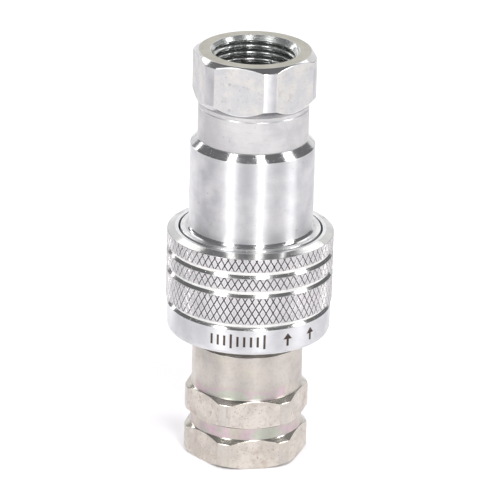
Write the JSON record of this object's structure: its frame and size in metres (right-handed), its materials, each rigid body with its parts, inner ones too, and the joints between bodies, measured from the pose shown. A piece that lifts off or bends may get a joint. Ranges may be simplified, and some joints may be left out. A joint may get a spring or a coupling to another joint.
{
  "type": "quick disconnect coupler",
  "caption": "Connected quick disconnect coupler: a plug locked by balls in a socket, with a knurled pull-back sleeve, poppet valves and threaded hex ends.",
  "frame": {"origin": "centre of the plug's end face, on the coupler's axis", "axes": "+Z along the axis from the plug up to the socket's port face; the camera side of the picture is -Y"},
  "size_m": [0.0322, 0.0322, 0.0825],
  "materials": {
    "bright_zinc": "bright zinc plating over turned steel, satin with fine turning rings",
    "sleeve_zinc": "bright zinc plating, knurled and polished lands",
    "passivated_zinc": "zinc plating with a pale iridescent passivation",
    "spring_steel": "drawn spring wire, satin",
    "ball_steel": "polished bearing balls",
    "valve_brass": "turned brass, satin",
    "seal_rubber": "nitrile rubber, matt",
    "ptfe": "white, waxy"
  },
  "bodies": {
    "plug": {"plug_body": "passivated_zinc", "plug_valve_guide": "valve_brass", "plug_valve_spring": "spring_steel", "plug_circlip": "spring_steel"},
    "plug_poppet": {"plug_poppet": "valve_brass", "plug_poppet_seal": "seal_rubber"},
    "socket": {"socket_body": "bright_zinc", "socket_adapter": "bright_zinc", "adapter_seal": "seal_rubber", "sleeve_snap_ring": "spring_steel", "interface_o_ring": "seal_rubber", "backup_ring": "ptfe", "socket_valve_guide": "valve_brass", "socket_valve_spring": "spring_steel"},
    "socket_poppet": {"socket_poppet": "valve_brass", "socket_poppet_seal": "seal_rubber"},
    "sleeve_spring": {"sleeve_spring": "spring_steel"},
    "sleeve": {"locking_sleeve": "sleeve_zinc"},
    "lock_ball_1": {"lock_ball_1": "ball_steel"},
    "lock_ball_2": {"lock_ball_2": "ball_steel"},
    "lock_ball_3": {"lock_ball_3": "ball_steel"},
    "lock_ball_4": {"lock_ball_4": "ball_steel"},
    "lock_ball_5": {"lock_ball_5": "ball_steel"},
    "lock_ball_6": {"lock_ball_6": "ball_steel"},
    "lock_ball_7": {"lock_ball_7": "ball_steel"},
    "lock_ball_8": {"lock_ball_8": "ball_steel"}
  },
  "joints": [
    {"name": "swivel", "type": "hinge", "parent": "plug", "child": "socket", "pos_m": [0, 0, 0.0326], "axis": [0, 0, 1], "continuous": true},
    {"name": "sleeve_turn", "type": "hinge", "parent": "socket", "child": "sleeve_spring", "pos_m": [0, 0, 0.0449], "axis": [0, 0, 1], "continuous": true},
    {"name": "sleeve_slide", "type": "slide", "parent": "sleeve_spring", "child": "sleeve", "axis": [0, 0, 1], "range_m": [0, 0.0045], "stiffness_N_per_m": 2500, "springref_m": -0.004, "deforming": ["sleeve_spring"]},
    {"name": "socket_poppet_slide", "type": "slide", "parent": "socket", "child": "socket_poppet", "axis": [0, 0, 1], "range_m": [-0.001, 0.001], "stiffness_N_per_m": 3000, "deforming": ["socket_valve_spring"]},
    {"name": "plug_poppet_slide", "type": "slide", "parent": "plug", "child": "plug_poppet", "axis": [0, 0, 1], "range_m": [-0.00101, 0.00101], "stiffness_N_per_m": 3000, "deforming": ["plug_valve_spring"]},
    {"name": "lock_ball_1_slide", "type": "slide", "parent": "socket", "child": "lock_ball_1", "axis": [0.9239, 0.3827, 0], "range_m": [0, 0.00104]},
    {"name": "lock_ball_2_slide", "type": "slide", "parent": "socket", "child": "lock_ball_2", "axis": [0.3827, 0.9239, 0], "range_m": [0, 0.00104]},
    {"name": "lock_ball_3_slide", "type": "slide", "parent": "socket", "child": "lock_ball_3", "axis": [-0.3827, 0.9239, 0], "range_m": [0, 0.00104]},
    {"name": "lock_ball_4_slide", "type": "slide", "parent": "socket", "child": "lock_ball_4", "axis": [-0.9239, 0.3827, 0], "range_m": [0, 0.00104]},
    {"name": "lock_ball_5_slide", "type": "slide", "parent": "socket", "child": "lock_ball_5", "axis": [-0.9239, -0.3827, 0], "range_m": [0, 0.00104]},
    {"name": "lock_ball_6_slide", "type": "slide", "parent": "socket", "child": "lock_ball_6", "axis": [-0.3827, -0.9239, 0], "range_m": [0, 0.00104]},
    {"name": "lock_ball_7_slide", "type": "slide", "parent": "socket", "child": "lock_ball_7", "axis": [0.3827, -0.9239, 0], "range_m": [0, 0.00104]},
    {"name": "lock_ball_8_slide", "type": "slide", "parent": "socket", "child": "lock_ball_8", "axis": [0.9239, -0.3827, 0], "range_m": [0, 0.00104]}
  ],
  "couplings": [
    {"joint": "plug_poppet_slide", "follows": "socket_poppet_slide", "ratio": 1},
    {"joint": "lock_ball_1_slide", "follows": "sleeve_slide", "ratio": 0.22889},
    {"joint": "lock_ball_2_slide", "follows": "sleeve_slide", "ratio": 0.22889},
    {"joint": "lock_ball_3_slide", "follows": "sleeve_slide", "ratio": 0.22889},
    {"joint": "lock_ball_4_slide", "follows": "sleeve_slide", "ratio": 0.22889},
    {"joint": "lock_ball_5_slide", "follows": "sleeve_slide", "ratio": 0.22889},
    {"joint": "lock_ball_6_slide", "follows": "sleeve_slide", "ratio": 0.22889},
    {"joint": "lock_ball_7_slide", "follows": "sleeve_slide", "ratio": 0.22889},
    {"joint": "lock_ball_8_slide", "follows": "sleeve_slide", "ratio": 0.22889}
  ]
}
